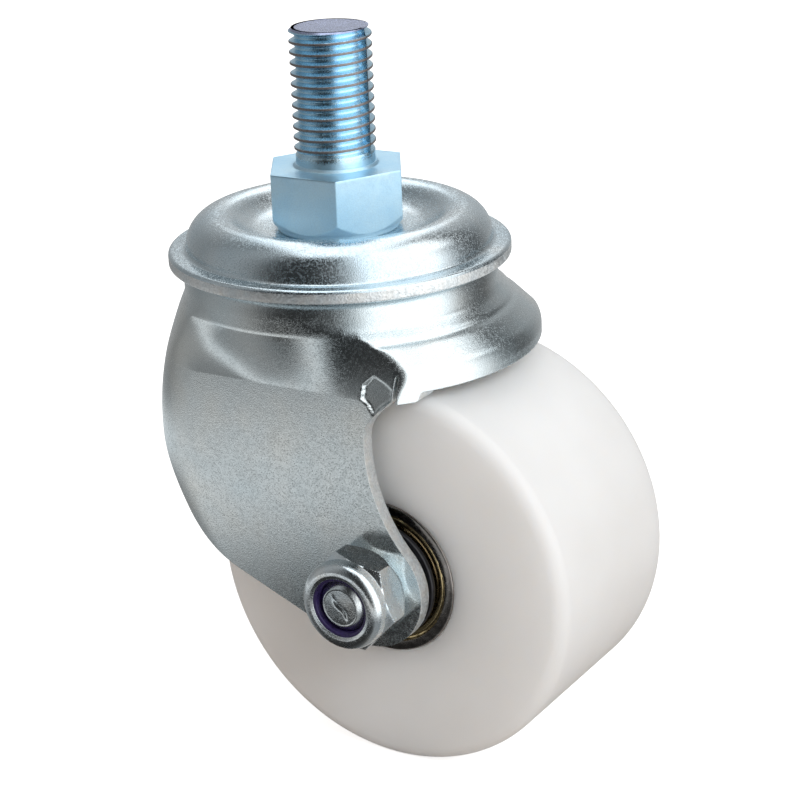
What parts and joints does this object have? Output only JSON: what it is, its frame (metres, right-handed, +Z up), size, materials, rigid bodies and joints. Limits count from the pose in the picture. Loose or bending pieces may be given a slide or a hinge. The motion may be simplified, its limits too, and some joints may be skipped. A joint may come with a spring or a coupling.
{
  "type": "swivel castor with threaded stem",
  "caption": "Unbraked swivel castor: a threaded stem and hex over a ball-race head, a pressed steel fork and a solid white plastic wheel on ball bearings.",
  "frame": {"origin": "on the swivel axis at the top face of the stem's hex, where the stem enters what it is screwed into", "axes": "+Z up the stem along the swivel axis, +X towards the trailing side where the wheel's axle sits, +Y along the axle away from the lock nut"},
  "size_m": [0.0943, 0.0693, 0.1365],
  "materials": {
    "stem_zinc": "turned steel, blue-white zinc plated",
    "cap_zinc": "pressed sheet steel, blue-white zinc plated, slightly grainy gloss",
    "row_balls": "polished bearing steel",
    "race_zinc": "pressed sheet steel, zinc plated",
    "fork_zinc": "pressed sheet steel, blue-white zinc plated, slightly grainy gloss",
    "wheel_nylon": "milky white nylon, turned satin",
    "ring_steel": "ground bearing steel, lightly oiled",
    "bearing_balls": "polished bearing steel",
    "cage_steel": "pressed sheet steel",
    "shield_gold": "pressed sheet, yellow passivated",
    "sleeve_zinc": "steel tube, zinc plated",
    "dust_black": "black coated steel, satin",
    "bolt_zinc": "cold-headed steel, zinc plated",
    "nut_zinc": "cold-formed steel, bright zinc plated",
    "insert_violet": "dark violet nylon"
  },
  "bodies": {
    "mount": {"stem_bolt": "stem_zinc", "swivel_cap": "cap_zinc", "lower_race": "race_zinc"},
    "fork": {"fork": "fork_zinc", "axle_bolt": "bolt_zinc", "axle_nut": "nut_zinc", "nut_insert": "insert_violet", "near_inner_ring": "ring_steel", "far_inner_ring": "ring_steel", "spacer_sleeve": "sleeve_zinc", "near_dust_washer": "dust_black", "far_dust_washer": "dust_black"},
    "wheel": {"wheel": "wheel_nylon", "near_outer_ring": "ring_steel", "far_outer_ring": "ring_steel", "near_shields": "shield_gold", "far_shields": "shield_gold"},
    "upper_ball_row": {"upper_balls": "row_balls"},
    "lower_ball_row": {"lower_balls": "row_balls"},
    "near_ball_row": {"near_balls": "bearing_balls", "near_cage": "cage_steel"},
    "far_ball_row": {"far_balls": "bearing_balls", "far_cage": "cage_steel"}
  },
  "joints": [
    {"name": "fork_swivel", "type": "hinge", "parent": "mount", "child": "fork", "pos_m": [0, 0, 0], "axis": [0, 0, 1], "continuous": true},
    {"name": "wheel_roll", "type": "hinge", "parent": "fork", "child": "wheel", "pos_m": [0.0205, 0, -0.0726], "axis": [0, 1, 0], "continuous": true},
    {"name": "upper_balls_orbit", "type": "hinge", "parent": "mount", "child": "upper_ball_row", "pos_m": [0, 0, 0], "axis": [0, 0, 1], "continuous": true},
    {"name": "lower_balls_orbit", "type": "hinge", "parent": "mount", "child": "lower_ball_row", "pos_m": [0, 0, 0], "axis": [0, 0, 1], "continuous": true},
    {"name": "near_cage_orbit", "type": "hinge", "parent": "fork", "child": "near_ball_row", "pos_m": [0.0205, 0, -0.0726], "axis": [0, 1, 0], "continuous": true},
    {"name": "far_cage_orbit", "type": "hinge", "parent": "fork", "child": "far_ball_row", "pos_m": [0.0205, 0, -0.0726], "axis": [0, 1, 0], "continuous": true}
  ],
  "couplings": [
    {"joint": "upper_balls_orbit", "follows": "fork_swivel", "ratio": 0.5},
    {"joint": "lower_balls_orbit", "follows": "fork_swivel", "ratio": 0.5},
    {"joint": "near_cage_orbit", "follows": "wheel_roll", "ratio": 0.619},
    {"joint": "far_cage_orbit", "follows": "wheel_roll", "ratio": 0.619}
  ]
}
